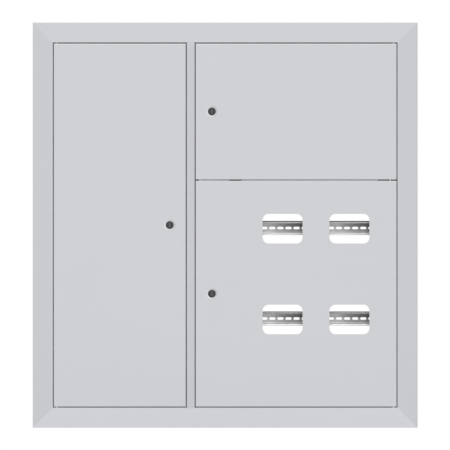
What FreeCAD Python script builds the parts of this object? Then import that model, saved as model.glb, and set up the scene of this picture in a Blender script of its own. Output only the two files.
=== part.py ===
import FreeCAD, Part
import math
import os

# A flush electric meter board for a wall niche: a mitred rim, three flush doors and an open backed box.
# X runs to the right, Y into the wall and Z up. The origin lies on the wall plane, at the middle of
# the rim's lower edge. Sizes are in millimetres.

# The board as a whole
board_width = 950.0
board_height = 1000.0
board_depth = 150.0
sheet = 1.2
bend = 0.8  # inner radius of every fold

# The rim and the uprights between the doors
rim_width = 50.0
rim_rise = 12.0  # the rim's inner edge and the door faces stand this far in front of the wall
rim_lip = 4.0
wall_flange = 10.0
stop_lip = 10.0
left_opening = 330.0
stile_width = 20.0
seam_height = 611.0  # middle of the seam between the two right doors
seam = 3.2
nose = 2.0
rail_flange = 12.0
nose_notch = 30.0
nose_notch_inset = 84.5  # from the stile
hinge_notch = 48.0  # from the right jamb
nose_notch_depth = 17.0

# The doors
gap = 2.0
door_depth = 15.0
door_return = 8.0  # the lip that turns inward at the rear of a door's flanges
stop_gap = 3.5  # from a door's rear edge to the stop lip
stiffener_crown = 24.0
stiffener_foot = 8.0
stiffener_depth = 10.0
stiffener_end = 20.0

# The windows of the meter door
window_width = 98.5
window_height = 73.0
window_radius = 15.0
window_column_share = 0.5984  # middle of the windows, as a share of the meter door's width
window_row_share = 0.5868  # the same, of its height
window_pitch_x_share = 0.33
window_pitch_z_share = 0.3993

# The hinges: pins through the door flanges at both ends
pivot_inset = 7.5
pivot_depth = 6.0
pin_radius = 2.5
pin_clearance = 0.1
pin_head_radius = 3.5
pin_head = 2.0
pin_reach = 5.0
washer_radius = 4.0
washer_play = 0.2
lug_length = 19.5
lug_front = 2.0  # behind the door faces
lug_back = 15.0
lug_radius = 2.0

# The foam seals on the stop lips
seal_width = 8.0
seal_thickness = 3.2
seal_inset = 1.0
rail_seal_inset = 0.5  # from the nose of the middle rail
seal_hinge_gap = 12.0

# The quarter turn locks
lock_inset = 40.0
lock_face_radius = 9.5
lock_face = 1.8
barrel_radius = 8.0
barrel_length = 20.0
plug_radius = 5.5
plug_head_radius = 6.5
plug_head = 1.5
plug_clearance = 0.1
keyway_height = 11.0
keyway_width = 3.0
keyway_depth = 1.0
keyway_cross = 5.5
keyway_cross_height = 2.0
lock_hole_clearance = 0.1
lock_nut_flats = 20.0
lock_nut_height = 4.0
cam_gap = 0.6
cam_thickness = 2.0
cam_boss_radius = 9.0
cam_tip_radius = 6.0
cam_reach = 38.0
cam_square = 8.0
cam_square_clearance = 0.1
cam_screw_radius = 2.5
cam_screw_length = 8.0
cam_screw_head_radius = 6.0
cam_screw_head = 2.5

# The box in the wall
box_inset = 25.0
box_back_flange = 20.0
cable_cut_width = 160.0
cable_cut_depth = 55.0
cable_cut_setback = 84.0  # from the door face's plane
anchor_radius = 5.0
anchor_spacing_y = 80.0
anchor_first_y = 35.0
anchor_end = 100.0  # from the rim's upper and lower edges
partition_flange = 20.0
shelf_flange = 12.0
shelf_back_flange = 15.0
shelf_cut_width = 120.0
shelf_cut_depth = 50.0

# The rails, their uprights and screws
rail_height = 35.0
rail_depth = 7.5
rail_brim = 5.0
rail_sheet = 1.0
rail_front_y = 38.0
slot_length = 15.0
slot_width = 6.2
slot_pitch = 20.0
meter_rail_gap = 5.0  # between the ends of two rails in a row
meter_rail_shift = 5.0  # a rail is centred this far right of its window
rail_above_window = 1.7
breaker_rail_end = 30.0  # from the compartment's walls
upright_width = 28.0
upright_margin = 11.5  # from the middle upright's sides to its screws
upright_depth = 20.0
rail_screw_radius = 2.5
rail_screw_head_radius = 4.5
rail_screw_head = 2.2
rail_screw_length = 8.0

# The strips of the low current compartment
strip_height = 30.0
strip_depth = 10.0
strip_front_y = 60.0
strip_low_share = 0.3  # of the board's height
strip_high_share = 0.7
strip_slot_pitch = 40.0

# The neutral and the earth bar
bar_height = 10.0
bar_thickness = 6.0
bar_overhang = 10.0
neutral_bar_z = 150.0
earth_bar_z = 105.0
insulator_length = 20.0
insulator_radius = 8.0
insulator_waist_radius = 6.0
terminal_pitch = 18.0
terminal_end = 13.0  # from the bar's end screws to the share of the first terminal
wire_hole_radius = 2.5
terminal_screw_radius = 2.0
terminal_head_radius = 3.4
terminal_head = 2.6

# Studs and frame screws
stud_radius = 4.0
stud_length = 25.0
stud_y = 90.0
stud_z = 150.0
stud_nut_flats = 13.0
stud_nut_height = 6.5
frame_screw_radius = 2.5
frame_screw_head_radius = 4.0
frame_screw_length = 12.0
frame_screw_row_shares = (0.2, 0.5, 0.8)  # of the board's height


def whole_slots(length):
    """How many slots a rail of some length holds, each with a pitch to itself."""
    return int(round(length, 3) / slot_pitch)


# Planes and places that follow
left_x = -board_width / 2
right_x = board_width / 2
opening_left = left_x + rim_width
opening_right = right_x - rim_width
opening_low = rim_width
opening_high = board_height - rim_width
stile_left = opening_left + left_opening
stile_right = stile_left + stile_width
stile_x = (stile_left + stile_right) / 2
partition_left = stile_x - sheet / 2
partition_right = stile_x + sheet / 2
face_y = -rim_rise
pivot_y = face_y + pivot_depth
stop_y = face_y + door_depth + stop_gap
lip_back_y = stop_y + sheet
back_y = face_y + board_depth
box_front_reach = rim_width + stop_lip - box_inset
box_left = left_x + box_inset
box_right = right_x - box_inset
box_low = box_inset
box_high = board_height - box_inset
inside_left = box_left + sheet
inside_right = box_right - sheet
inside_low = box_low + sheet
inside_high = box_high - sheet
inside_back = back_y - sheet
box_flange_back_y = lip_back_y + sheet
rail_web_y = rail_front_y + rail_depth
right_middle_x = (stile_right + opening_right) / 2
left_middle_x = (opening_left + stile_left) / 2
right_opening = opening_right - stile_right
frame_screw_columns = (left_middle_x, stile_right + right_opening / 4, opening_right - right_opening / 4)
nose_low = seam_height - nose / 2
nose_high = seam_height + nose / 2
window_pitch_x = window_pitch_x_share * right_opening
window_pitch_z = window_pitch_z_share * (seam_height - opening_low)
window_middle_x = stile_right + window_column_share * right_opening
window_middle_z = opening_low + window_row_share * (seam_height - opening_low)
window_first_x = window_middle_x - window_pitch_x / 2
window_first_z = window_middle_z - window_pitch_z / 2
meter_rail_length = window_pitch_x - meter_rail_gap
meter_rail_slots = whole_slots(meter_rail_length)
slot_row = (meter_rail_slots - 1) * slot_pitch / 2
first_upright_x = window_first_x + meter_rail_shift - slot_row
last_upright_x = window_first_x + window_pitch_x + meter_rail_shift + slot_row
middle_upright_x = (first_upright_x + last_upright_x) / 2
middle_upright_width = window_pitch_x - 2 * slot_row + 2 * upright_margin
breaker_rail_z = (seam_height + opening_high) / 2
breaker_rail_length = right_opening - 2 * breaker_rail_end
breaker_rail_slots = whole_slots(breaker_rail_length)
breaker_screw_reach = (breaker_rail_slots - 3) * slot_pitch / 2
anchor_spacing_z = board_height - 2 * anchor_end
strip_slots = int((partition_left - inside_left) / strip_slot_pitch)
terminal_room = middle_upright_x - first_upright_x - 2 * terminal_end
terminal_count = int(terminal_room / terminal_pitch)
neutral_front = rail_web_y - insulator_length - bar_thickness
earth_front = rail_web_y - bar_thickness
shelf_under_z = seam_height - sheet
cam_front_y = face_y + barrel_length + cam_gap
big = 2 * board_width  # longer than anything it has to cut through


class Door:
    """The outline of a door: its sides, the side of its hinge (-1 left, 1 right) and its lock."""

    def __init__(self, left, right, low, high, hinge_side):
        self.left = left
        self.right = right
        self.low = low
        self.high = high
        self.hinge_side = hinge_side
        if hinge_side < 0:
            self.pivot_x = left + pivot_inset
            self.lock_x = right - lock_inset
        else:
            self.pivot_x = right - pivot_inset
            self.lock_x = left + lock_inset
        self.lock_z = (low + high) / 2


left_door = Door(opening_left + gap, stile_left - gap, opening_low + gap, opening_high - gap, -1)
upper_door = Door(stile_right + gap, opening_right - gap, seam_height + seam / 2, opening_high - gap, 1)
lower_door = Door(stile_right + gap, opening_right - gap, opening_low + gap, seam_height - seam / 2, 1)


# General shapes

def vector(x, y, z=0.0):
    return FreeCAD.Vector(x, y, z)


def block(x0, x1, y0, y1, z0, z1):
    """A block between two corners."""
    return Part.makeBox(x1 - x0, y1 - y0, z1 - z0, vector(x0, y0, z0))


def rod(radius, y0, y1, x=0.0, z=0.0):
    """A rod along Y."""
    return Part.makeCylinder(radius, y1 - y0, vector(x, y0, z), vector(0, 1, 0))


def turned_part(profile, x=0.0, z=0.0):
    """A part turned about an axis along Y, from the radius and the Y of each corner of its profile."""
    corners = [vector(radius, y) for radius, y in profile]
    face = Part.Face(Part.makePolygon(corners + corners[:1]))
    solid = face.revolve(vector(0, 0), vector(0, 1), 360)
    solid.translate(vector(x, 0, z))
    return solid


def hexagon(flats, y0, y1, bore_radius, x=0.0, z=0.0):
    """A hexagon nut along Y, with its bore."""
    across = flats / math.sqrt(3)
    angles = [math.radians(60 * side) for side in range(7)]
    outline = Part.makePolygon([vector(across * math.cos(a), y0, across * math.sin(a)) for a in angles])
    nut = Part.Face(outline).extrude(vector(0, y1 - y0, 0))
    nut.translate(vector(x, 0, z))
    return nut.cut(rod(bore_radius, y0, y1, x, z))


def to_the_left(point, direction, distance):
    return vector(point.x - direction.y * distance, point.y + direction.x * distance)


def folded_section(path, thickness=sheet, radius=bend):
    """The section of a folded sheet. Its skin follows the path and the sheet lies to the path's left.
    Each corner is a fold with the given inner radius, or a sharp hem where the point says so."""
    points = [vector(point[0], point[1]) for point in path]
    runs = []
    for start, end in zip(points, points[1:]):
        runs.append((end - start).normalize())
    skin_start = points[0]
    inner_start = to_the_left(points[0], runs[0], thickness)
    cap = Part.LineSegment(inner_start, skin_start).toShape()
    skin = []
    inner = []
    for place, before, after in zip(path[1:-1], runs, runs[1:]):
        corner = vector(place[0], place[1])
        turn = math.atan2(before.x * after.y - before.y * after.x, before.dot(after))
        towards = (after - before).normalize()
        if len(place) > 2:
            inner_corner = corner + towards * (thickness / math.cos(turn / 2))
            skin.append(Part.LineSegment(skin_start, corner).toShape())
            inner.append(Part.LineSegment(inner_start, inner_corner).toShape())
            skin_start = corner
            inner_start = inner_corner
            continue
        skin_radius = radius + thickness if turn > 0 else radius
        inner_radius = radius if turn > 0 else radius + thickness
        tangent = skin_radius * math.tan(abs(turn) / 2)
        centre = corner + towards * (skin_radius / math.cos(turn / 2))
        skin_end = corner - before * tangent
        inner_end = to_the_left(skin_end, before, thickness)
        skin.append(Part.LineSegment(skin_start, skin_end).toShape())
        inner.append(Part.LineSegment(inner_start, inner_end).toShape())
        skin_start = corner + after * tangent
        inner_start = to_the_left(skin_start, after, thickness)
        skin.append(Part.Arc(skin_end, centre - towards * skin_radius, skin_start).toShape())
        inner.append(Part.Arc(inner_end, centre - towards * inner_radius, inner_start).toShape())
    inner_last = to_the_left(points[-1], runs[-1], thickness)
    skin.append(Part.LineSegment(skin_start, points[-1]).toShape())
    inner.append(Part.LineSegment(inner_start, inner_last).toShape())
    end_cap = Part.LineSegment(points[-1], inner_last).toShape()
    return Part.Face(Part.Wire([cap] + skin + [end_cap] + inner[::-1]))


def upright(section, z0, z1):
    """A section drawn in X and Y, carried up from one height to another."""
    solid = section.extrude(vector(0, 0, z1 - z0))
    solid.translate(vector(0, 0, z0))
    return solid


def lying(section, x0, x1):
    """A section drawn in Z and Y, carried along X."""
    solid = section.extrude(vector(0, 0, x1 - x0))
    solid.rotate(vector(0, 0), vector(0, 1), -90)
    solid.translate(vector(x1, 0, 0))
    return solid


def mitred_bar(section, length, reach):
    """A bar along Z about the origin, its ends cut at 45 degrees over the reach of its section."""
    half = length / 2
    bar = upright(section, -half, half)
    corners = [(0, -half), (reach, reach - half), (reach, half - reach), (0, half)]
    outline = [vector(x, -board_depth, z) for x, z in corners]
    prism = Part.Face(Part.makePolygon(outline + outline[:1])).extrude(vector(0, 2 * board_depth, 0))
    return bar.common(prism)


def on_each_side(section, inset, reach):
    """Four mitred bars round the board, set in from its outer edges. The section's X points inward."""
    width = board_width - 2 * inset
    height = board_height - 2 * inset
    places = {
        "left": (height, 0, left_x + inset, board_height / 2),
        "right": (height, 180, right_x - inset, board_height / 2),
        "bottom": (width, -90, 0, inset),
        "top": (width, 90, 0, board_height - inset),
    }
    bars = {}
    for side, (length, angle, x, z) in places.items():
        bar = mitred_bar(section, length, reach)
        bar.rotate(vector(0, 0), vector(0, 1), angle)
        bar.translate(vector(x, 0, z))
        bars[side] = bar
    return bars


def rounded_block(x, z, width, height, radius, y0, y1):
    """A block along Y about a centre, with its four long edges rounded."""
    solid = block(x - width / 2, x + width / 2, y0, y1, z - height / 2, z + height / 2)
    long_edges = [edge for edge in solid.Edges if abs(edge.Length - (y1 - y0)) < 1e-6]
    along_y = [edge for edge in long_edges if abs(edge.tangentAt(edge.FirstParameter).y) > 0.5]
    return solid.makeFillet(radius, along_y)


def slot_cutters(x_centre, z, count, pitch, y0, y1):
    """A row of rounded slots along X, about its centre."""
    cutters = []
    first = x_centre - (count - 1) * pitch / 2
    for number in range(count):
        x = first + number * pitch
        half = (slot_length - slot_width) / 2
        slot = block(x - half, x + half, y0, y1, z - slot_width / 2, z + slot_width / 2)
        for end in (x - half, x + half):
            slot = slot.fuse(rod(slot_width / 2, y0, y1, end, z))
        cutters.append(slot.removeSplitter())
    return Part.makeCompound(cutters)


def screw(radius, length, head_radius, head, y, x, z):
    """A cheese head screw along Y, its head in front of the seat at y."""
    return rod(head_radius, y - head, y, x, z).fuse(rod(radius, y, y + length, x, z))


# The rim and what lies between the doors

def frame_screw_places():
    """Where the rim's stop lips are screwed to the box."""
    inset = rim_width + stop_lip / 2
    places = []
    for share in frame_screw_row_shares:
        z = share * board_height
        places.append((left_x + inset, z))
        places.append((right_x - inset, z))
    for x in frame_screw_columns:
        places.append((x, inset))
        places.append((x, board_height - inset))
    return places


def frame_screw(x, z):
    """A countersunk screw, flush with the front of the stop lip."""
    cone = frame_screw_head_radius - frame_screw_radius
    profile = [
        (0, stop_y),
        (frame_screw_head_radius, stop_y),
        (frame_screw_radius, stop_y + cone),
        (frame_screw_radius, stop_y + frame_screw_length),
        (0, stop_y + frame_screw_length),
    ]
    return turned_part(profile, x, z)


def rim_bars():
    """The rim: a flange on the wall, a lip, a face that slopes up to the doors, a jamb and a stop lip."""
    path = [
        (wall_flange, 0),
        (0, 0, "sharp"),
        (0, -rim_lip),
        (rim_width, face_y),
        (rim_width, stop_y),
        (rim_width + stop_lip, stop_y),
    ]
    bars = on_each_side(folded_section(path), 0, rim_width + stop_lip)
    screws = Part.makeCompound([frame_screw(x, z) for x, z in frame_screw_places()])
    for side in bars:
        bars[side] = bars[side].cut(screws)
    hole = pin_radius + pin_clearance / 2
    jamb = 2 * sheet
    low_hole = Part.makeCylinder(hole, jamb, vector(left_door.pivot_x, pivot_y, opening_low - jamb + 0.1))
    high_hole = Part.makeCylinder(hole, jamb, vector(left_door.pivot_x, pivot_y, opening_high - 0.1))
    across = vector(lower_door.pivot_x - left_door.pivot_x, 0)
    bars["bottom"] = bars["bottom"].cut(low_hole).cut(low_hole.translated(across))
    bars["top"] = bars["top"].cut(high_hole).cut(high_hole.translated(across))
    return bars


def centre_stile():
    """A hat section between the left and the right doors. Its stop lips end at those of the rim, and its
    face is scribed round the rim's inner fold."""
    half = stile_width / 2
    path = [
        (stile_x - half - stop_lip, stop_y),
        (stile_x - half, stop_y),
        (stile_x - half, face_y),
        (stile_x + half, face_y),
        (stile_x + half, stop_y),
        (stile_x + half + stop_lip, stop_y),
    ]
    stile = upright(folded_section(path), opening_low, opening_high)
    low_notch = block(-big, big, stop_y, back_y, opening_low, opening_low + stop_lip)
    high_notch = block(-big, big, stop_y, back_y, opening_high - stop_lip, opening_high)
    stile = stile.cut(low_notch).cut(high_notch)
    fold = bend + sheet
    flat = half - fold
    scribe = block(stile_x - flat, stile_x + flat, face_y, face_y + sheet, opening_high, opening_high + fold)
    slope = math.hypot(rim_width, rim_rise - rim_lip) / rim_width
    fold_y = -rim_lip - (rim_rise - rim_lip) * (rim_width - fold) / rim_width + fold * slope
    fold_axis = vector(stile_x - half, fold_y, opening_high + fold)
    scribe = scribe.cut(Part.makeCylinder(fold, stile_width, fold_axis, vector(1, 0)))
    low_scribe = scribe.mirror(vector(0, 0, board_height / 2), vector(0, 0, 1))
    return stile.fuse(scribe).fuse(low_scribe).removeSplitter()


def middle_rail():
    """A doubled sheet whose round nose shows in the seam between the right doors, with three notches."""
    half = nose / 2
    tip = face_y + half
    straight = [
        (nose_high, tip),
        (nose_high, stop_y),
        (seam_height + rail_flange, stop_y),
        (seam_height + rail_flange, lip_back_y),
        (seam_height - rail_flange, lip_back_y),
        (seam_height - rail_flange, stop_y),
        (nose_low, stop_y),
        (nose_low, tip),
    ]
    corners = [vector(z, y) for z, y in straight]
    edges = [Part.LineSegment(a, b).toShape() for a, b in zip(corners, corners[1:])]
    edges.append(Part.Arc(corners[-1], vector(seam_height, face_y), corners[0]).toShape())
    rail = lying(Part.Face(Part.Wire(edges)), stile_right + stop_lip, opening_right - stop_lip)
    notch_back = face_y + nose_notch_depth
    first_left = stile_right + nose_notch_inset
    first = block(first_left, first_left + nose_notch, face_y, notch_back, nose_low, nose_high)
    last = block(opening_right - hinge_notch, big, face_y, notch_back, nose_low, nose_high)
    return rail.cut(first).cut(last)


def middle_lug():
    """The plate on the right jamb that carries the pin between the two right doors."""
    lug = block(
        opening_right - lug_length, opening_right, face_y + lug_front, face_y + lug_back, nose_low, nose_high
    )
    free_edges = []
    for edge in lug.Edges:
        upright_edge = abs(edge.Length - nose) < 1e-6
        if upright_edge and edge.BoundBox.XMax < opening_right - 1:
            free_edges.append(edge)
    lug = lug.makeFillet(lug_radius, free_edges)
    hole = Part.makeCylinder(pin_radius, nose, vector(upper_door.pivot_x, pivot_y, nose_low))
    return lug.cut(hole)


# The hinges

def hinge_pin(x, z, up):
    """A headed pin through a jamb at height z, pointing up (1) or down (-1) into a door's flange."""
    place = vector(x, pivot_y, z - up * sheet)
    shank = Part.makeCylinder(pin_radius, sheet + gap + pin_reach, place, vector(0, 0, up))
    tip = [edge for edge in shank.Edges if abs(edge.BoundBox.Center.z - place.z) > pin_reach]
    tip = [edge for edge in tip if edge.BoundBox.ZLength < 1e-3]
    shank = shank.makeChamfer(pin_radius / 4, tip)
    head = Part.makeCylinder(pin_head_radius, pin_head, place, vector(0, 0, -up))
    return shank.fuse(head).removeSplitter()


def middle_pin():
    """The pin through the lug, into the flanges of both right doors."""
    reach = seam / 2 + pin_reach
    pin = Part.makeCylinder(pin_radius, 2 * reach, vector(upper_door.pivot_x, pivot_y, seam_height - reach))
    ends = [edge for edge in pin.Edges if edge.BoundBox.ZLength < 1e-3]
    return pin.makeChamfer(pin_radius / 4, ends)


def hinge_pins():
    return Part.makeCompound([
        hinge_pin(left_door.pivot_x, opening_low, 1),
        hinge_pin(left_door.pivot_x, opening_high, -1),
        hinge_pin(lower_door.pivot_x, opening_low, 1),
        hinge_pin(upper_door.pivot_x, opening_high, -1),
        middle_pin(),
    ])


def washer(x, z0, z1):
    """A washer round a pin, from its seat to just under the door that it carries."""
    ring = Part.makeCylinder(washer_radius, z1 - z0, vector(x, pivot_y, z0))
    return ring.cut(Part.makeCylinder(pin_radius + pin_clearance / 2, z1 - z0, vector(x, pivot_y, z0)))


def hinge_washers():
    return Part.makeCompound([
        washer(left_door.pivot_x, opening_low, left_door.low - washer_play),
        washer(lower_door.pivot_x, opening_low, lower_door.low - washer_play),
        washer(upper_door.pivot_x, nose_high, upper_door.low - washer_play),
    ])


# The doors

def pan(door, inset):
    """A block with its front and rear edges rounded: the outside of a door's pan, or its inside by one
    sheet."""
    front = face_y + inset
    rear = face_y + door_depth - inset
    solid = block(door.left + inset, door.right - inset, front, rear, door.low + inset, door.high - inset)
    folds = [edge for edge in solid.Edges if edge.BoundBox.YLength < door_depth / 2]
    return solid.makeFillet(bend + sheet - inset, folds)


def door_panel(door):
    """A pan with flanges all round that turn inward at the rear, the hole of its lock and the holes of
    its pins."""
    rear = face_y + door_depth
    mouth_left = door.left + door_return
    mouth_right = door.right - door_return
    mouth_low = door.low + door_return
    mouth_high = door.high - door_return
    mouth = block(mouth_left, mouth_right, rear - 2 * sheet, rear, mouth_low, mouth_high)
    panel = pan(door, 0).cut(pan(door, sheet)).cut(mouth)
    lock_hole = rod(barrel_radius + lock_hole_clearance, -board_depth, 0, door.lock_x, door.lock_z)
    start = vector(door.pivot_x, pivot_y, door.low)
    pin_hole = Part.makeCylinder(pin_radius + pin_clearance, door.high - door.low, start)
    return panel.cut(lock_hole).cut(pin_hole)


def windows():
    """The four windows of the meter door, as cutters."""
    cutters = []
    for column in range(2):
        for row in range(2):
            x = window_first_x + column * window_pitch_x
            z = window_first_z + row * window_pitch_z
            cutters.append(rounded_block(x, z, window_width, window_height, window_radius, -board_depth, 0))
    return Part.makeCompound(cutters)


def stiffener(door, x):
    """A hat section up the inside of a door, welded to the back of its face."""
    inner_y = face_y + sheet
    half = stiffener_crown / 2
    crown_y = inner_y + stiffener_depth
    path = [
        (x - half - stiffener_foot, inner_y),
        (x - half, inner_y),
        (x - half, crown_y),
        (x + half, crown_y),
        (x + half, inner_y),
        (x + half + stiffener_foot, inner_y),
    ]
    return upright(folded_section(path), door.low + stiffener_end, door.high - stiffener_end)


def door_seal(door, low, high):
    """Foam on three stop lips of a door: the latch side and both ends, short of the hinge's corner."""
    y0 = stop_y - seal_thickness
    if door.hinge_side < 0:
        edge = stile_left - seal_inset
        latch = block(edge - seal_width, edge, y0, stop_y, low, high)
        ends = (door.pivot_x + seal_hinge_gap, edge)
    else:
        edge = stile_right + seal_inset
        latch = block(edge, edge + seal_width, y0, stop_y, low, high)
        ends = (edge, door.pivot_x - seal_hinge_gap)
    bottom = block(ends[0], ends[1], y0, stop_y, low, low + seal_width)
    top = block(ends[0], ends[1], y0, stop_y, high - seal_width, high)
    return latch.fuse(bottom).fuse(top).removeSplitter()


# The locks

def lock_body(door):
    """The lock's face and barrel, bored for the plug."""
    bore = plug_radius + plug_clearance
    recess = plug_head_radius + plug_clearance
    front = face_y - lock_face
    recess_floor = front + plug_head + plug_clearance
    profile = [
        (recess, front),
        (lock_face_radius - lock_face / 2, front),
        (lock_face_radius, front + lock_face / 2),
        (lock_face_radius, face_y),
        (barrel_radius, face_y),
        (barrel_radius, face_y + barrel_length),
        (bore, face_y + barrel_length),
        (bore, recess_floor),
        (recess, recess_floor),
    ]
    return turned_part(profile, door.lock_x, door.lock_z)


def lock_plug(door):
    """The turning plug: a head with its keyway, a shank and a square end for the cam."""
    x = door.lock_x
    z = door.lock_z
    front = face_y - lock_face
    profile = [
        (0, front),
        (plug_head_radius, front),
        (plug_head_radius, front + plug_head),
        (plug_radius, front + plug_head),
        (plug_radius, cam_front_y),
        (0, cam_front_y),
    ]
    plug = turned_part(profile, x, z)
    half = cam_square / 2
    square_end = cam_front_y + cam_thickness - cam_square_clearance
    plug = plug.fuse(block(x - half, x + half, cam_front_y, square_end, z - half, z + half))
    half = keyway_width / 2
    top = z + keyway_height / 2
    floor = front + keyway_depth
    plug = plug.cut(block(x - half, x + half, front, floor, z - keyway_height / 2, top))
    half = keyway_cross / 2
    plug = plug.cut(block(x - half, x + half, front, floor, top - keyway_cross_height, top))
    screw_end = cam_front_y + cam_thickness - cam_screw_length
    return plug.cut(rod(cam_screw_radius, screw_end, square_end, x, z)).removeSplitter()


def lock_nut(door):
    front = face_y + sheet
    return hexagon(lock_nut_flats, front, front + lock_nut_height, barrel_radius, door.lock_x, door.lock_z)


def lock_cam(door):
    """A flat cam that hangs down when unlocked. It turns up behind the stile's stop lip."""
    distance = cam_reach - cam_tip_radius
    lean = math.asin((cam_boss_radius - cam_tip_radius) / distance)
    across = math.cos(lean)
    down = math.sin(lean)
    boss_x = cam_boss_radius * across
    boss_z = -cam_boss_radius * down
    tip_x = cam_tip_radius * across
    tip_z = -distance - cam_tip_radius * down
    y = cam_front_y
    edges = [
        Part.Arc(vector(-boss_x, y, boss_z), vector(0, y, cam_boss_radius), vector(boss_x, y, boss_z)),
        Part.LineSegment(vector(boss_x, y, boss_z), vector(tip_x, y, tip_z)),
        Part.Arc(vector(tip_x, y, tip_z), vector(0, y, -cam_reach), vector(-tip_x, y, tip_z)),
        Part.LineSegment(vector(-tip_x, y, tip_z), vector(-boss_x, y, boss_z)),
    ]
    outline = Part.Wire([edge.toShape() for edge in edges])
    cam = Part.Face(outline).extrude(vector(0, cam_thickness, 0))
    half = cam_square / 2 + cam_square_clearance
    cam = cam.cut(block(-half, half, y, y + cam_thickness, -half, half))
    cam.translate(vector(door.lock_x, 0, door.lock_z))
    return cam


def cam_screw(door):
    """The screw that holds the cam, its head behind the cam."""
    rear = cam_front_y + cam_thickness
    crown = cam_screw_head / 3
    profile = [
        (0, rear - cam_screw_length),
        (cam_screw_radius, rear - cam_screw_length),
        (cam_screw_radius, rear),
        (cam_screw_head_radius, rear),
        (cam_screw_head_radius, rear + cam_screw_head - crown),
        (cam_screw_head_radius - crown, rear + cam_screw_head),
        (0, rear + cam_screw_head),
    ]
    return turned_part(profile, door.lock_x, door.lock_z)


# The box in the wall

def box_walls():
    """Four folded walls: a flange behind the rim's stop lips, the wall and a flange round the open back."""
    path = [
        (box_back_flange, back_y),
        (0, back_y),
        (0, lip_back_y),
        (box_front_reach, lip_back_y),
    ]
    walls = on_each_side(folded_section(path), box_inset, box_front_reach)
    screws = Part.makeCompound([frame_screw(x, z) for x, z in frame_screw_places()])
    for side in walls:
        walls[side] = walls[side].cut(screws)
    for side in ("left", "right"):
        walls[side] = walls[side].cut(anchor_holes())
    for side in ("top", "bottom"):
        walls[side] = walls[side].cut(cable_cuts())
    return walls


def anchor_holes():
    """Four holes through each side wall, for the anchors in the niche."""
    holes = []
    for row in range(2):
        for column in range(2):
            y = anchor_first_y + row * anchor_spacing_y
            z = board_height / 2 + (column - 0.5) * anchor_spacing_z
            holes.append(Part.makeCylinder(anchor_radius, big, vector(-big / 2, y, z), vector(1, 0)))
    return Part.makeCompound(holes)


def cable_cuts():
    """The cable entries of both compartments, through the top and the bottom wall."""
    y0 = face_y + cable_cut_setback
    cuts = []
    for x in (left_middle_x, right_middle_x):
        half = cable_cut_width / 2
        cuts.append(block(x - half, x + half, y0, y0 + cable_cut_depth, -big, big))
    return Part.makeCompound(cuts)


def middle_partition():
    """The sheet between the low current side and the mains side. Its front edge stands in the stile."""
    path = [
        (partition_right, face_y + sheet),
        (partition_right, inside_back),
        (partition_right - partition_flange, inside_back),
    ]
    partition = upright(folded_section(path), inside_low, inside_high)
    low = opening_low + stop_lip
    low_notch = block(-big, big, -board_depth, box_flange_back_y, inside_low, low)
    high_notch = block(-big, big, -board_depth, box_flange_back_y, board_height - low, inside_high)
    return partition.cut(low_notch).cut(high_notch)


def meter_shelf():
    """The sheet between the breakers and the meters, screwed behind the middle rail."""
    path = [
        (seam_height - shelf_flange, lip_back_y),
        (seam_height, lip_back_y),
        (seam_height, inside_back),
        (seam_height - shelf_back_flange, inside_back),
    ]
    shelf = lying(folded_section(path), partition_right, inside_right)
    left_notch = block(-big, stile_right + stop_lip, -board_depth, box_flange_back_y, 0, board_height)
    right_notch = block(opening_right - stop_lip, big, -board_depth, box_flange_back_y, 0, board_height)
    rear = inside_back - 2 * bend - sheet
    half = shelf_cut_width / 2
    x = right_middle_x
    cable_cut = block(x - half, x + half, rear - shelf_cut_depth, rear, shelf_under_z, seam_height)
    return shelf.cut(left_notch).cut(right_notch).cut(cable_cut)


# The rails and what carries them

def rail_upright(x, width, z0, z1, rail_heights):
    """A channel that stands open to the back, with a hole for the screw of each rail."""
    half = width / 2
    rear = rail_web_y + upright_depth
    path = [(x - half, rear), (x - half, rail_web_y), (x + half, rail_web_y), (x + half, rear)]
    return upright(folded_section(path), z0, z1).cut(rail_screw_holes(rail_heights))


def rail_screw_holes(heights):
    """Holes for the screws of the rails at some heights, in every column of screws."""
    rear = rail_web_y + 2 * sheet
    holes = []
    for x, z in rail_screw_places():
        if z in heights:
            holes.append(rod(rail_screw_radius, rail_web_y, rear, x, z))
    return Part.makeCompound(holes)


def din_rail(x_centre, z, length):
    """A top hat rail with a row of slots."""
    half = rail_height / 2
    hat = half - rail_brim
    front = rail_front_y
    floor = rail_web_y - rail_sheet
    path = [
        (z - half, front),
        (z - hat, front),
        (z - hat, floor),
        (z + hat, floor),
        (z + hat, front),
        (z + half, front),
    ]
    slots = whole_slots(length)
    rail = lying(folded_section(path, rail_sheet), x_centre - length / 2, x_centre + length / 2)
    return rail.cut(slot_cutters(x_centre, z, slots, slot_pitch, floor - 1, rail_web_y + 1))


def meter_rail_places():
    """The centre of each meter rail: one behind each window."""
    places = {}
    for row, row_name in enumerate(("lower", "upper")):
        for column, column_name in enumerate(("left", "right")):
            x = window_first_x + column * window_pitch_x + meter_rail_shift
            z = window_first_z + row * window_pitch_z + rail_above_window
            places[row_name + "_" + column_name] = (x, z)
    return places


def rail_screw_places():
    """A screw in the first and the last slot of each meter rail, and near both ends of the breaker rail."""
    places = []
    for x, z in meter_rail_places().values():
        places.append((x - slot_row, z))
        places.append((x + slot_row, z))
    for side in (-1, 1):
        places.append((right_middle_x + side * breaker_screw_reach, breaker_rail_z))
    return places


def rail_screws():
    screws = []
    for x, z in rail_screw_places():
        y = rail_web_y - rail_sheet
        screws.append(
            screw(rail_screw_radius, rail_screw_length, rail_screw_head_radius, rail_screw_head, y, x, z)
        )
    return Part.makeCompound(screws)


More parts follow.
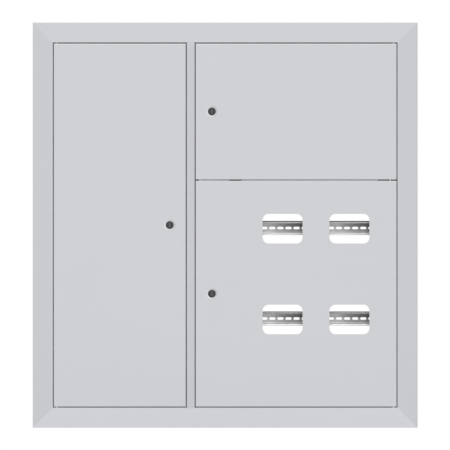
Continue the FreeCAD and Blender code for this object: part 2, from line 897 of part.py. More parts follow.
def uprights():
    """Three channels under the shelf for the meter rails, two above it for the breaker rail."""
    heights = [z for x, z in meter_rail_places().values()]
    low = (inside_low, shelf_under_z, heights)
    high = (seam_height, inside_high, [breaker_rail_z])
    return {
        "left_meter_upright": rail_upright(first_upright_x, upright_width, *low),
        "middle_meter_upright": rail_upright(middle_upright_x, middle_upright_width, *low),
        "right_meter_upright": rail_upright(last_upright_x, upright_width, *low),
        "left_breaker_upright": rail_upright(right_middle_x - breaker_screw_reach, upright_width, *high),
        "right_breaker_upright": rail_upright(right_middle_x + breaker_screw_reach, upright_width, *high),
    }


def mounting_strip(z):
    """A slotted channel across the low current compartment, from the wall to the partition."""
    half = strip_height / 2
    rear = strip_front_y + strip_depth
    path = [(z - half, rear), (z - half, strip_front_y), (z + half, strip_front_y), (z + half, rear)]
    strip = lying(folded_section(path), inside_left, partition_left)
    x = (inside_left + partition_left) / 2
    return strip.cut(slot_cutters(x, z, strip_slots, strip_slot_pitch, strip_front_y - 1, rear))


# The neutral and the earth bar

def terminal_places():
    middle = (first_upright_x + middle_upright_x) / 2
    start = middle - (terminal_count - 1) * terminal_pitch / 2
    return [start + number * terminal_pitch for number in range(terminal_count)]


def terminal_bar(z, front):
    """A brass bar with a wire hole under each terminal screw, and a hole at each end."""
    half = bar_height / 2
    rear = front + bar_thickness
    left = first_upright_x - bar_overhang
    right = middle_upright_x + bar_overhang
    bar = block(left, right, front, rear, z - half, z + half)
    middle_y = front + bar_thickness / 2
    for x in terminal_places():
        start = vector(x, middle_y, z - half)
        bar = bar.cut(Part.makeCylinder(wire_hole_radius, bar_height, start))
        bar = bar.cut(rod(terminal_screw_radius, front, middle_y, x, z))
    for x in (first_upright_x, middle_upright_x):
        bar = bar.cut(rod(terminal_screw_radius, front, rear, x, z))
    return bar


def neutral_insulators():
    """Two waisted insulators between the uprights and the neutral bar, bored for their screws."""
    front = rail_web_y - insulator_length
    third = insulator_length / 3
    profile = [
        (terminal_screw_radius, front),
        (insulator_radius, front),
        (insulator_radius, front + third),
        (insulator_waist_radius, front + third),
        (insulator_waist_radius, rail_web_y - third),
        (insulator_radius, rail_web_y - third),
        (insulator_radius, rail_web_y),
        (terminal_screw_radius, rail_web_y),
    ]
    places = (first_upright_x, middle_upright_x)
    return Part.makeCompound([turned_part(profile, x, neutral_bar_z) for x in places])


def terminal_screws():
    """The terminal screws of both bars, and the two longer screws that hold each bar at its ends."""
    screws = []
    for z, front in ((neutral_bar_z, neutral_front), (earth_bar_z, earth_front)):
        for x in terminal_places():
            length = bar_thickness / 2 - wire_hole_radius / 2
            screws.append(
                screw(terminal_screw_radius, length, terminal_head_radius, terminal_head, front, x, z)
            )
        for x in (first_upright_x, middle_upright_x):
            length = rail_web_y - front
            screws.append(
                screw(terminal_screw_radius, length, terminal_head_radius, terminal_head, front, x, z)
            )
    return Part.makeCompound(screws)


# Earth studs

def earth_stud(x, inward):
    """A stud welded to a side wall, pointing into the box."""
    return Part.makeCylinder(stud_radius, stud_length, vector(x, stud_y, stud_z), vector(inward, 0))


def earth_nut(x, inward):
    nut = hexagon(stud_nut_flats, 0, stud_nut_height, stud_radius)
    nut.rotate(vector(0, 0), vector(0, 0, 1), -90 * inward)
    nut.translate(vector(x, stud_y, stud_z))
    return nut


# Sheets whose ends are scribed to the folds that they meet
scribed_pieces = {
    "centre_stile": ("rim_bottom", "rim_top"),
    "middle_partition": ("bottom_box_wall", "top_box_wall"),
    "meter_shelf": ("right_box_wall",),
}


def all_pieces():
    pieces = {}
    for side, bar in rim_bars().items():
        pieces["rim_" + side] = bar
    for side, wall in box_walls().items():
        pieces[side + "_box_wall"] = wall
    pieces["centre_stile"] = centre_stile()
    pieces["middle_rail"] = middle_rail()
    pieces["middle_lug"] = middle_lug()
    pieces["hinge_pins"] = hinge_pins()
    pieces["hinge_washers"] = hinge_washers()
    pieces["frame_screws"] = Part.makeCompound([frame_screw(x, z) for x, z in frame_screw_places()])
    pieces["middle_partition"] = middle_partition()
    pieces["meter_shelf"] = meter_shelf()
    pieces.update(uprights())
    for name, (x, z) in meter_rail_places().items():
        pieces[name + "_meter_rail"] = din_rail(x, z, meter_rail_length)
    pieces["breaker_rail"] = din_rail(right_middle_x, breaker_rail_z, breaker_rail_length)
    pieces["rail_screws"] = rail_screws()
    pieces["lower_mounting_strip"] = mounting_strip(strip_low_share * board_height)
    pieces["upper_mounting_strip"] = mounting_strip(strip_high_share * board_height)
    pieces["neutral_bar"] = terminal_bar(neutral_bar_z, neutral_front)
    pieces["neutral_insulators"] = neutral_insulators()
    pieces["earth_bar"] = terminal_bar(earth_bar_z, earth_front)
    pieces["terminal_screws"] = terminal_screws()
    pieces["earth_studs"] = Part.makeCompound([earth_stud(inside_left, 1), earth_stud(inside_right, -1)])
    pieces["earth_stud_nuts"] = Part.makeCompound([earth_nut(inside_left, 1), earth_nut(inside_right, -1)])
    low_seal = opening_low + seal_inset
    high_seal = opening_high - seal_inset
    pieces["left_door_seal"] = door_seal(left_door, low_seal, high_seal)
    pieces["upper_door_seal"] = door_seal(upper_door, nose_high + rail_seal_inset, high_seal)
    pieces["lower_door_seal"] = door_seal(lower_door, low_seal, nose_low - rail_seal_inset)
    doors = (
        ("left", left_door, left_middle_x),
        ("upper", upper_door, right_middle_x),
        ("lower", lower_door, window_middle_x),
    )
    for name, door, stiffener_x in doors:
        pieces[name + "_door_panel"] = door_panel(door)
        pieces[name + "_door_stiffener"] = stiffener(door, stiffener_x)
        pieces[name + "_lock_body"] = lock_body(door)
        pieces[name + "_lock_nut"] = lock_nut(door)
        pieces[name + "_lock_plug"] = lock_plug(door)
        pieces[name + "_lock_cam"] = lock_cam(door)
        pieces[name + "_cam_screw"] = cam_screw(door)
    pieces["lower_door_panel"] = pieces["lower_door_panel"].cut(windows())
    for name, neighbours in scribed_pieces.items():
        for neighbour in neighbours:
            pieces[name] = pieces[name].cut(pieces[neighbour])
    return pieces


os.makedirs("parts", exist_ok=True)
for piece_name, piece in all_pieces().items():
    piece.exportStep("parts/" + piece_name + ".step")
    print(piece_name, "solids", len(piece.Solids), "valid", piece.isValid(), "volume", round(piece.Volume))
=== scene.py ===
import math

import bmesh
import bpy
import numpy as np
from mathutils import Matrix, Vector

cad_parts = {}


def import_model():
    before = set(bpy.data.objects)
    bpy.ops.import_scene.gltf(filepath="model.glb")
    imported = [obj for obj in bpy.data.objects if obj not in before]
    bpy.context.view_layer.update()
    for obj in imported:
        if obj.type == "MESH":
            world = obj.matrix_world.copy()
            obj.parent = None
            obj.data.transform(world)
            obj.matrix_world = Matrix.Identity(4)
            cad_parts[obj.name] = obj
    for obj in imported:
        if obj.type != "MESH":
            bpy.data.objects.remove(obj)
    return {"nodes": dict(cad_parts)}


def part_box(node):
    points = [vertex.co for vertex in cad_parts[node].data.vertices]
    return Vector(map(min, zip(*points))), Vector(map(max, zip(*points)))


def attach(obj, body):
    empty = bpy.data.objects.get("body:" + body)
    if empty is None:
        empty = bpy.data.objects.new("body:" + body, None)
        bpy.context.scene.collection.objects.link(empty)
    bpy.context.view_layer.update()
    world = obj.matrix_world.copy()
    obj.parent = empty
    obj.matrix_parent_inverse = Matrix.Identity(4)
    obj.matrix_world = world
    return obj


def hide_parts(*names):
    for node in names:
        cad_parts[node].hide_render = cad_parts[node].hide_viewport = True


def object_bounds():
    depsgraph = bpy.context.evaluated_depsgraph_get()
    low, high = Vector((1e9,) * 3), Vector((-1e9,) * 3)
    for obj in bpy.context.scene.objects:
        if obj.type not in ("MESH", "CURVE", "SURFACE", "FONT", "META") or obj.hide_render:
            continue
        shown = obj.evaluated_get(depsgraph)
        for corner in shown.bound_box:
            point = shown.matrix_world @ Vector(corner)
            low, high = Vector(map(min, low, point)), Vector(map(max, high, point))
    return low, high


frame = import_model()
cad_low, cad_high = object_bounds()

# Lengths are in metres, angles in radians and colours are linear.

DOORS = ("left", "upper", "lower")
METER_RAILS = [f"{row}_{side}_meter_rail" for row in ("lower", "upper") for side in ("left", "right")]
FACE_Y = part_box("left_door_panel")[0][1]  # the plane of the doors' faces

# Camera: straight in front, and so far off that what lies deeper hardly shrinks
DISTANCE = 20.0
SENSOR = 36.0  # in millimetres, as the lens is
VIEW_WIDTH = 1.1102  # how much of the doors' plane it shows
VIEW_CENTRE_X = -0.0004
VIEW_CENTRE_Z = 0.5003
CLIP_END = 100.0

# Light: the surround, and a wide softbox in front and a faint one overhead, both in watts
WORLD_STRENGTH = 0.80
FRONT_LIGHT = 19.7
FRONT_SIZE = 2.4
FRONT_PLACE = (0, -3.2, 0.44)
TOP_LIGHT = 1.5
TOP_SIZE = 1.0
TOP_PLACE = (0, -0.5, VIEW_CENTRE_Z + 2.0)
LIGHT_TARGET = (0, 0, VIEW_CENTRE_Z)

# Floor
FLOOR_RADIUS = 1.6
FLOOR_DROP = 0.25
FLOOR_SIDES = 96
FLOOR_TONE = (0.93, 0.93, 0.93)
FLOOR_ROUGHNESS = 0.9
FLOOR_SCALE = 1.5
FLOOR_DRIFT = 0.02

# Tones of paint, metal, plastic and foam
DOOR_TONE = (0.626, 0.633, 0.659)
RIM_TONE = (0.630, 0.637, 0.663)
# The lower rim bar's tone is lighter than the upper one's: painted light, for the light that the floor
# keeps from it
LOW_RIM_LIT_TONE = (0.670, 0.677, 0.705)
# The side bars' tone is darker than the upper bar's: painted shade, as their sloped faces get less light
# from the sides
SIDE_SHADE_TONE = (0.602, 0.607, 0.635)
STILE_TONE = (0.576, 0.581, 0.608)
BOX_TONE = (0.600, 0.606, 0.625)
ZINC_TONE = (0.42, 0.43, 0.44)
BRASS_TONE = (0.62, 0.43, 0.17)
# Painted shade for what lies deep in the seam between the doors, and a painted highlight for glints
SEAM_SHADE_TONE = (0.03, 0.03, 0.03)
GLINT_TONE = (0.92, 0.92, 0.92)
LOCK_TONE = (0.031, 0.031, 0.034)
KEYWAY_TONE = (0.125, 0.125, 0.13)
INSULATOR_TONE = (0.23, 0.035, 0.02)
FOAM_TONE = (0.018, 0.018, 0.019)

# Powder coat: noise scales in waves for each metre, and shares of the tone
DRIFT_SCALE = 4.0
DRIFT_DETAIL = 3.0
PEEL_SCALE = 260.0
PEEL_DETAIL = 1.0
PEEL_HEIGHT = 0.0002
SPECK_SCALE = 700.0
SPECK = 0.03
PAINT_DRIFT = 0.02
PAINT_PEEL = 0.3
PAINT_GLOSS = 0.35
PAINT_ROUGHNESS = 0.40
PAINT_ROUGHNESS_SWING = 0.16
BOX_DRIFT = 0.05
LOCK_DRIFT = 0.2
LOCK_PEEL = 0.2

# Plated and drawn metal
STREAK_SCALE = 1800.0
STREAK_STRETCH = 0.04  # of the scale, along X
STREAK_HEIGHT = 0.0001
STREAK_BUMP = 0.15
SPANGLE_SCALE = 160.0
SPANGLE_SHARE = 0.4
CLOUD_SCALE = 60.0
CLOUD_DETAIL = 3.0
CLOUD_MIDDLE = 0.7  # of cloud and spangle together
METAL_ROUGHNESS = 0.28
METAL_ROUGHNESS_SWING = 0.2
SHEET_LOOK = (0.12, 0.15)  # how strong the streaks and the clouds are
FASTENER_LOOK = (0.05, 0.25)
BRASS_LOOK = (0.08, 0.1)
RAIL_LOOK = (0.05, 0.05)
LUG_LOOK = (0.05, 0.1)
LUG_METALLIC = 0.3

# Moulded and foamed materials
PORE_DETAIL = 3.0
PORE_HEIGHT = 0.0003
PORE_BUMP = 0.4
INSULATOR_LOOK = (0.35, 300.0, 0.2)  # roughness, scale of the pores, and their share of the tone
FOAM_LOOK = (0.9, 900.0, 0.6)

# Painted reflection and painted shade on a meter rail, in bands: the heights of a band's foot and head as
# shares of the rail's, and its greys there, at the left end and at the right end of what the rail's window
# shows
RAIL_REFLECTION_BANDS = (
    ((0.00, 0.07), (0.52, 0.52), (0.33, 0.33)),  # the lower brim
    ((0.09, 0.13), (0.95, 0.95), (0.95, 0.95)),  # its fold
    ((0.15, 0.20), (0.66, 0.60), (0.34, 0.30)),  # the foot of the web
    ((0.25, 0.52), (0.36, 0.36), (0.16, 0.14)),  # its lower half
    ((0.60, 0.82), (0.32, 0.34), (0.07, 0.07)),  # its upper half
    ((0.85, 0.91), (0.66, 0.66), (0.66, 0.66)),  # the upper fold
    ((0.935, 1.0), (0.02, 0.02), (0.00, 0.00)),  # the upper brim
)
SHEEN_FALL = 2.2  # how fast the left tones give way to the right ones
WINDOW_START = 0.0257  # from a rail's left end
WINDOW_WIDTH = 0.0985

# Painted highlight and painted shade in a ring round a lock, as on a shallow dimple, lightest in the
# direction of its light
DIMPLE_INNER = 0.0100
DIMPLE_OUTER = 0.0160
DIMPLE_LIGHT_X = -0.85
DIMPLE_LIGHT_Z = -0.50
DIMPLE_LIGHTING_STRENGTH = 0.30
DIMPLE_DEPTH = 0.0005

# The keyway's floor: an upright slot with a short cross at its top
KEYWAY = (0.0032, 0.0112)
KEYWAY_CROSS = (0.0056, 0.0022)
KEYWAY_CROSS_RISE = 0.0045

# Painted highlight on a door's upper fold, where it catches light
FOLD_START = 0.0026
FOLD_END = 0.0012
FOLD_HIGHLIGHT = {"left": 1.38, "upper": 1.38, "lower": 1.22}

# Painted shade on the jamb over the doors, which reaches a little way round its fold
RIM_WIDTH = 0.050
JAMB_START = 0.0010  # behind the doors' faces
JAMB_END = 0.0035
JAMB_SHADE = 0.25
JAMB_EDGE = 0.0009

# Painted highlight along the rim's upper and left edges, where they catch light, and painted shade along
# its right one
EDGE_WIDTH = 0.0050
EDGE_HIGHLIGHT = 1.05
EDGE_SHADE = 0.96

# Painted highlight on the stile's upper end
STILE_END = 0.02
STILE_HIGHLIGHT = 1.04

# Painted highlights on the ends of the nose and of the lug. The nose has painted shade up to its glint.
GLINT = (0.0030, 0.0030)
NOSE_SHADE_START = 0.0010  # from the door's edge
NOSE_SHADE_WIDTH = 0.0064
NOSE_GLINT_START = 0.0092

# Meshes
MERGE = 1e-7
SAME_DIGITS = 6  # decimals to which the corners of triangles that meet agree
SHARP = math.radians(35)

# Screws
SHANK = 0.0025
TERMINAL_SHANK = 0.0020
RAIL_HEAD = 0.0022
TERMINAL_HEAD = 0.0026
CAM_HEAD = 0.0025
SCREW_TURNS = 56
TOP_ROWS = 14
DOME = 0.25  # of the head's height
DOME_REACH = 0.9  # of the head's radius
DOME_END = 0.4  # of the head's height, where its side starts
CROSS_WIDTH = 0.22  # of the cross's reach
CROSS_EDGE = 1.2  # where an arm's flank reaches the top, in widths
CROSS_FLANK = 4.0  # how steep it is
CROSS_END_FLANK = 5.0
CROSS_DEPTH = 0.6  # of the head's height
CROSS_TOP = 0.6  # share of the head's height above which it is cut
DOMED_REACH = 0.55  # of the head's radius
FLAT_REACH = 0.6

# Threads and nuts
THREAD_DEPTH = 0.5  # of the pitch
ROWS_PER_PITCH = 8
STUD_PITCH = 0.00125
STUD_TURNS = 48
NUT_TURNS = 96
NUT_EDGE = 0.97  # of half the flats, where the ends' slope starts
NUT_CHAMFER = 0.6  # of what the corners stand out

# The locks' bodies
BARREL_RADIUS = 0.008
BARREL_BORE = 0.0056
BARREL_PITCH = 0.001
BARREL_THREAD_START = 0.002  # behind the doors' faces
BARREL_TURNS = 64
FACE_CHAMFER = 0.0009
RECESS_RADIUS = 0.0066
RECESS_FLOOR = 0.0016

# The foam seals: self adhesive strips, crowned and cut to length
SEAL_WIDTH = 0.008
SEAL_CROWN = 0.45
SEAL_BUTT = 0.0002  # the gap where two strips meet, and the fold at a strip's ends
SEAL_ROW = 0.004
SEAL_SECTION = 15  # points
SEAL_WAVE = 0.04  # of the thickness
SEAL_WAVE_NUMBERS = (310, 83)  # in radians to the metre


# Node trees

class Sheet:
    """The drawing sheet of a node tree: it adds nodes, sets their inputs and joins them."""

    def __init__(self, tree):
        self.tree = tree

    def feed(self, node, values):
        """Joins each named input of a node to a socket, or sets it to a number, a vector or a colour."""
        for label, value in values.items():
            target = node.inputs[label]
            if isinstance(value, bpy.types.NodeSocket):
                self.tree.links.new(value, target)
            elif target.type == "RGBA":
                target.default_value = (*value, 1.0)
            else:
                target.default_value = value

    def add(self, kind, values=None, **settings):
        """A new node with its settings, and with values for its inputs."""
        node = self.tree.nodes.new(kind)
        for name, value in settings.items():
            setattr(node, name, value)
        self.feed(node, values or {})
        return node

    def group(self, tree, **values):
        """What a placed group gives for these values."""
        return self.add("ShaderNodeGroup", values, node_tree=tree).outputs

    def maths(self, operation, *values):
        return self.add("ShaderNodeMath", dict(enumerate(values)), operation=operation).outputs[0]

    def separate(self, vector):
        return self.add("ShaderNodeSeparateXYZ", {0: vector}).outputs

    def noise(self, vector, scale, detail=2.0):
        node = self.add("ShaderNodeTexNoise", {"Vector": vector, "Scale": scale, "Detail": detail})
        return node.outputs["Fac"]

    def bump(self, height, distance, strength):
        node = self.add("ShaderNodeBump", {"Height": height, "Distance": distance, "Strength": strength})
        return node.outputs["Normal"]

    def scaled(self, tone, factor):
        """A tone times a factor."""
        node = self.add("ShaderNodeVectorMath", {0: tone, "Scale": factor}, operation="SCALE")
        return node.outputs[0]

    def mixed(self, factor, first, second):
        """The first colour where the factor is nought, and the second where it is one."""
        node = self.add("ShaderNodeMix", {"Factor": factor, 6: first, 7: second}, data_type="RGBA")
        return node.outputs[2]

    def share(self, value, start, end):
        """How far a value is on the way from a start to an end, kept between nought and one."""
        values = {"Value": value, "From Min": start, "From Max": end}
        return self.add("ShaderNodeMapRange", values, clamp=True).outputs["Result"]

    def step(self, value, start, end, low, high):
        """A soft step from one value at the start to another at the end."""
        values = {"Value": value, "From Min": start, "From Max": end, "To Min": low, "To Max": high}
        node = self.add("ShaderNodeMapRange", values, interpolation_type="SMOOTHSTEP")
        return node.outputs["Result"]

    def greys(self, value, stops):
        """A grey by a value, through stops of a value and a grey. A new ramp has two stops already."""
        ramp = self.add("ShaderNodeValToRGB", {"Fac": value})
        elements = ramp.color_ramp.elements
        for number, (place, grey) in enumerate(stops):
            element = elements[number] if number < 2 else elements.new(place)
            element.position = place
            element.color = (grey, grey, grey, 1.0)
        return ramp.outputs["Color"]


VECTOR = ("Vector", "NodeSocketVector")
TONE = ("Tone", "NodeSocketColor")
FINISH = [("Color", "NodeSocketColor"), ("Roughness", "NodeSocketFloat"), ("Normal", "NodeSocketVector")]


def numbers(*labels):
    """Sockets that are plain numbers."""
    return [(label, "NodeSocketFloat") for label in labels]


def new_group(name, inputs, outputs):
    """A shader node group with named inputs and outputs, each with its kind. It gives the group's sheet,
    what comes in, and the node that takes what goes out."""
    tree = bpy.data.node_groups.new(name, "ShaderNodeTree")
    for label, kind in inputs:
        tree.interface.new_socket(label, in_out="INPUT", socket_type=kind)
    for label, kind in outputs:
        tree.interface.new_socket(label, in_out="OUTPUT", socket_type=kind)
    sheet = Sheet(tree)
    return sheet, sheet.add("NodeGroupInput").outputs, sheet.add("NodeGroupOutput")


def powder_group():
    """Powder coat: a fine orange peel, and a slow drift of tone across the sheet."""
    inputs = [VECTOR, TONE, *numbers("Drift", "Peel")]
    sheet, given, result = new_group("powder_coat", inputs, FINISH)
    slow = sheet.noise(given["Vector"], DRIFT_SCALE, DRIFT_DETAIL)
    fine = sheet.noise(given["Vector"], SPECK_SCALE)
    peel = sheet.noise(given["Vector"], PEEL_SCALE, PEEL_DETAIL)
    drift = sheet.maths("MULTIPLY", sheet.maths("SUBTRACT", slow, 0.5), given["Drift"])
    speck = sheet.maths("MULTIPLY", sheet.maths("SUBTRACT", fine, 0.5), SPECK)
    level = sheet.maths("ADD", sheet.maths("ADD", drift, speck), 1.0)
    sheet.feed(result, {
        "Color": sheet.scaled(given["Tone"], level),
        "Roughness": sheet.maths("MULTIPLY_ADD", peel, PAINT_ROUGHNESS_SWING, PAINT_ROUGHNESS),
        "Normal": sheet.bump(peel, PEEL_HEIGHT, given["Peel"]),
    })
    return sheet.tree


def plating_group():
    """Plated or drawn metal: fine streaks along X and cloudy spangle."""
    inputs = [VECTOR, TONE, *numbers("Streak", "Cloud")]
    sheet, given, result = new_group("plating", inputs, FINISH)
    stretch = {"Vector": given["Vector"], "Scale": (STREAK_STRETCH, 1.0, 1.0)}
    streaks = sheet.noise(sheet.add("ShaderNodeMapping", stretch).outputs["Vector"], STREAK_SCALE)
    spangle = sheet.add("ShaderNodeTexVoronoi", {"Vector": given["Vector"], "Scale": SPANGLE_SCALE})
    cloud = sheet.noise(given["Vector"], CLOUD_SCALE, CLOUD_DETAIL)
    both = sheet.maths("MULTIPLY_ADD", spangle.outputs["Distance"], SPANGLE_SHARE, cloud)
    streak = sheet.maths("MULTIPLY", sheet.maths("SUBTRACT", streaks, 0.5), given["Streak"])
    mottle = sheet.maths("MULTIPLY", sheet.maths("SUBTRACT", both, CLOUD_MIDDLE), given["Cloud"])
    level = sheet.maths("ADD", sheet.maths("ADD", streak, mottle), 1.0)
    sheet.feed(result, {
        "Color": sheet.scaled(given["Tone"], level),
        "Roughness": sheet.maths("MULTIPLY_ADD", cloud, METAL_ROUGHNESS_SWING, METAL_ROUGHNESS),
        "Normal": sheet.bump(streaks, STREAK_HEIGHT, STREAK_BUMP),
    })
    return sheet.tree


def rail_sheen_group():
    """Painted reflection of the room on a top hat rail: a band for each fold, from the lower brim to the
    upper one, with one tone at the left end of what the window shows and another at its right end."""
    inputs = [VECTOR, *numbers("Left", "Right", "Low", "High")]
    sheet, given, result = new_group("rail_sheen", inputs, [("Color", "NodeSocketColor")])
    place = sheet.separate(given["Vector"])
    along = sheet.share(place["X"], given["Left"], given["Right"])
    height = sheet.share(place["Z"], given["Low"], given["High"])
    left = [stop for heights, greys, _ in RAIL_REFLECTION_BANDS for stop in zip(heights, greys)]
    right = [stop for heights, _, greys in RAIL_REFLECTION_BANDS for stop in zip(heights, greys)]
    fall = sheet.maths("POWER", sheet.maths("SUBTRACT", 1.0, along), SHEEN_FALL)
    tone = sheet.mixed(fall, sheet.greys(height, right), sheet.greys(height, left))
    sheet.feed(result, {"Color": tone})
    return sheet.tree


def box_mask_group():
    """One inside an upright rectangle about a middle, in X and Z, as far back as a depth, and nought
    outside it."""
    inputs = [VECTOR, *numbers("X", "Z", "Width", "Height", "Depth")]
    sheet, given, result = new_group("box_mask", inputs, numbers("Mask"))
    place = sheet.separate(given["Vector"])
    mask = sheet.maths("LESS_THAN", place["Y"], given["Depth"])
    for axis, size in (("X", "Width"), ("Z", "Height")):
        distance = sheet.maths("ABSOLUTE", sheet.maths("SUBTRACT", place[axis], given[axis]))
        inside = sheet.maths("LESS_THAN", distance, sheet.maths("DIVIDE", given[size], 2.0))
        mask = sheet.maths("MULTIPLY", mask, inside)
    sheet.feed(result, {"Mask": mask})
    return sheet.tree


def dimple_lighting_group():
    """Painted highlight and painted shade in a ring round a lock, as on a shallow dimple: lighter at its
    lower left, darker at its upper right. It gives a factor for the paint's tone, which is one away from
    the lock and behind the door's face."""
    inputs = [VECTOR, *numbers("X", "Z")]
    sheet, given, result = new_group("lock_dimple_painted_light", inputs, numbers("Factor"))
    place = sheet.separate(given["Vector"])
    across = sheet.maths("SUBTRACT", place["X"], given["X"])
    up = sheet.maths("SUBTRACT", place["Z"], given["Z"])
    squares = sheet.maths("ADD", sheet.maths("POWER", across, 2.0), sheet.maths("POWER", up, 2.0))
    distance = sheet.maths("SQRT", squares)
    ring = sheet.step(distance, DIMPLE_OUTER, DIMPLE_INNER, 0.0, 1.0)
    across_light = sheet.maths("MULTIPLY", across, DIMPLE_LIGHT_X)
    up_light = sheet.maths("MULTIPLY", up, DIMPLE_LIGHT_Z)
    facing = sheet.maths("DIVIDE", sheet.maths("ADD", across_light, up_light), distance)
    in_front = sheet.maths("LESS_THAN", place["Y"], FACE_Y + DIMPLE_DEPTH)
    shade = sheet.maths("MULTIPLY", sheet.maths("MULTIPLY", facing, ring), in_front)
    sheet.feed(result, {"Factor": sheet.maths("MULTIPLY_ADD", shade, DIMPLE_LIGHTING_STRENGTH, 1.0)})
    return sheet.tree


POWDER = powder_group()
PLATING = plating_group()
RAIL_SHEEN = rail_sheen_group()
BOX_MASK = box_mask_group()
DIMPLE_LIGHTING = dimple_lighting_group()


# Materials

def new_material(name):
    """A material, a sheet for its tree, its shader, and the place on the object."""
    material = bpy.data.materials.new(name)
    material.use_nodes = True
    tree = material.node_tree
    sheet = Sheet(tree)
    place = sheet.add("ShaderNodeTexCoord").outputs["Object"]
    return material, sheet, tree.nodes["Principled BSDF"], place


def finished(name, group, tone, group_values, shader_values):
    """A material with a finish group. The tone is a colour, or a function that works one out from a sheet
    and a place. What is the same all over is set on the shader itself."""
    material, sheet, shader, place = new_material(name)
    if callable(tone):
        tone = tone(sheet, place)
    finish = sheet.group(group, Vector=place, Tone=tone, **group_values)
    sheet.feed(shader, {
        "Base Color": finish["Color"],
        "Roughness": finish["Roughness"],
        "Normal": finish["Normal"],
        **shader_values,
    })
    return material


def paint(name, tone, drift=PAINT_DRIFT, peel=PAINT_PEEL):
    """Powder coat, with how far its tone drifts and how strong its orange peel is."""
    return finished(name, POWDER, tone, {"Drift": drift, "Peel": peel}, {"Specular IOR Level": PAINT_GLOSS})


def metal(name, tone, look, metallic=1.0):
    """Plated or drawn metal, with how strong its streaks and its clouds are."""
    streak, cloud = look
    return finished(name, PLATING, tone, {"Streak": streak, "Cloud": cloud}, {"Metallic": metallic})


def porous(name, tone, look):
    """A moulded or foamed material, with its pores in colour and bump."""
    roughness, scale, grain = look
    material, sheet, shader, place = new_material(name)
    pores = sheet.noise(place, scale, PORE_DETAIL)
    level = sheet.maths("MULTIPLY_ADD", pores, grain, 1.0 - grain / 2)
    sheet.feed(shader, {
        "Base Color": sheet.scaled(tone, level),
        "Roughness": roughness,
        "Normal": sheet.bump(pores, PORE_HEIGHT, PORE_BUMP),
    })
    return material


def middle_of(node):
    """The middle of a node in X and Z."""
    low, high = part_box(node)
    return (low[0] + high[0]) / 2, (low[2] + high[2]) / 2


def patch(sheet, place, tone, inside, middle, size, depth):
    """A tone that turns to another one inside an upright rectangle, as far back as a depth."""
    sizes = {"X": middle[0], "Z": middle[1], "Width": size[0], "Height": size[1], "Depth": depth}
    return sheet.mixed(sheet.group(BOX_MASK, Vector=place, **sizes)["Mask"], tone, inside)


def door_tone(door):
    """The paint of a door, with painted highlight and shade in a ring round its lock, and a painted
    highlight on its upper fold.
    """
    def tone(sheet, place):
        x, z = middle_of(door + "_lock_body")
        # painted highlight and painted shade round the lock
        dimple = sheet.group(DIMPLE_LIGHTING, Vector=place, X=x, Z=z)["Factor"]
        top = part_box(door + "_door_panel")[1][2]
        height = sheet.separate(place)["Z"]
        # painted highlight on the upper fold
        fold = sheet.step(height, top - FOLD_START, top - FOLD_END, 1.0, FOLD_HIGHLIGHT[door])
        return sheet.scaled(DOOR_TONE, sheet.maths("MULTIPLY", dimple, fold))
    return tone


def top_rim_tone(sheet, place):
    """The paint of the upper rim bar: a painted highlight at its upper edge, and painted shade on the jamb
    over the doors."""
    places = sheet.separate(place)
    inner = cad_high[2] - RIM_WIDTH
    # painted shade on the jamb, and on a thin strip of the face beside it
    by_depth = sheet.step(places["Y"], FACE_Y + JAMB_START, FACE_Y + JAMB_END, 1.0, JAMB_SHADE)
    by_height = sheet.step(places["Z"], inner + JAMB_EDGE / 2, inner + JAMB_EDGE, JAMB_SHADE, 1.0)
    dark = sheet.maths("SUBTRACT", 1.0, sheet.maths("MINIMUM", by_depth, by_height))
    jamb = sheet.step(places["Z"], inner, inner + JAMB_END, 1.0, 0.0)
    factor = sheet.maths("SUBTRACT", 1.0, sheet.maths("MULTIPLY", jamb, dark))
    # painted highlight along the rim's upper edge
    edge = sheet.step(places["Z"], cad_high[2] - EDGE_WIDTH, cad_high[2], 1.0, EDGE_HIGHLIGHT)
    return sheet.scaled(RIM_TONE, sheet.maths("MULTIPLY", factor, edge))


def side_rim_tone(sheet, place):
    """The paint of the side bars, darker as painted shade, with a painted highlight at the rim's left edge
    and painted shade at its right one.
    """
    across = sheet.separate(place)["X"]
    # painted highlight at the rim's left edge and painted shade at its right one
    left = sheet.step(across, cad_low[0] + EDGE_WIDTH, cad_low[0], 1.0, EDGE_HIGHLIGHT)
    right = sheet.step(across, cad_high[0] - EDGE_WIDTH, cad_high[0], 1.0, EDGE_SHADE)
    return sheet.scaled(SIDE_SHADE_TONE, sheet.maths("MULTIPLY", left, right))


def stile_tone(sheet, place):
    """The paint of the stile, with a painted highlight towards its upper end."""
    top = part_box("centre_stile")[1][2]
    height = sheet.separate(place)["Z"]
    return sheet.scaled(STILE_TONE, sheet.step(height, top - STILE_END, top, 1.0, STILE_HIGHLIGHT))


def nose_tone(sheet, place):
    """The paint of the nose, with painted shade on its end and a painted highlight beside the stile."""
    low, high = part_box("middle_rail")
    z = (low[2] + high[2]) / 2
    door_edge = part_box("upper_door_panel")[0][0]
    shade_x = door_edge + NOSE_SHADE_START + NOSE_SHADE_WIDTH / 2
    glint_x = door_edge + NOSE_GLINT_START + GLINT[0] / 2
    shade_size = (NOSE_SHADE_WIDTH, high[2] - low[2])
    # painted shade on the nose's end, then a painted highlight
    shaded = patch(sheet, place, STILE_TONE, SEAM_SHADE_TONE, (shade_x, z), shade_size, cad_high[1])
    return patch(sheet, place, shaded, GLINT_TONE, (glint_x, z), GLINT, cad_high[1])


def lug_tone(sheet, place):
    """The lug's steel, near black with painted shade, and a painted highlight on its rounded end."""
    low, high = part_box("middle_lug")
    middle = (low[0] + GLINT[0] / 2, (low[2] + high[2]) / 2)
    return patch(sheet, place, SEAM_SHADE_TONE, GLINT_TONE, middle, GLINT, cad_high[1])


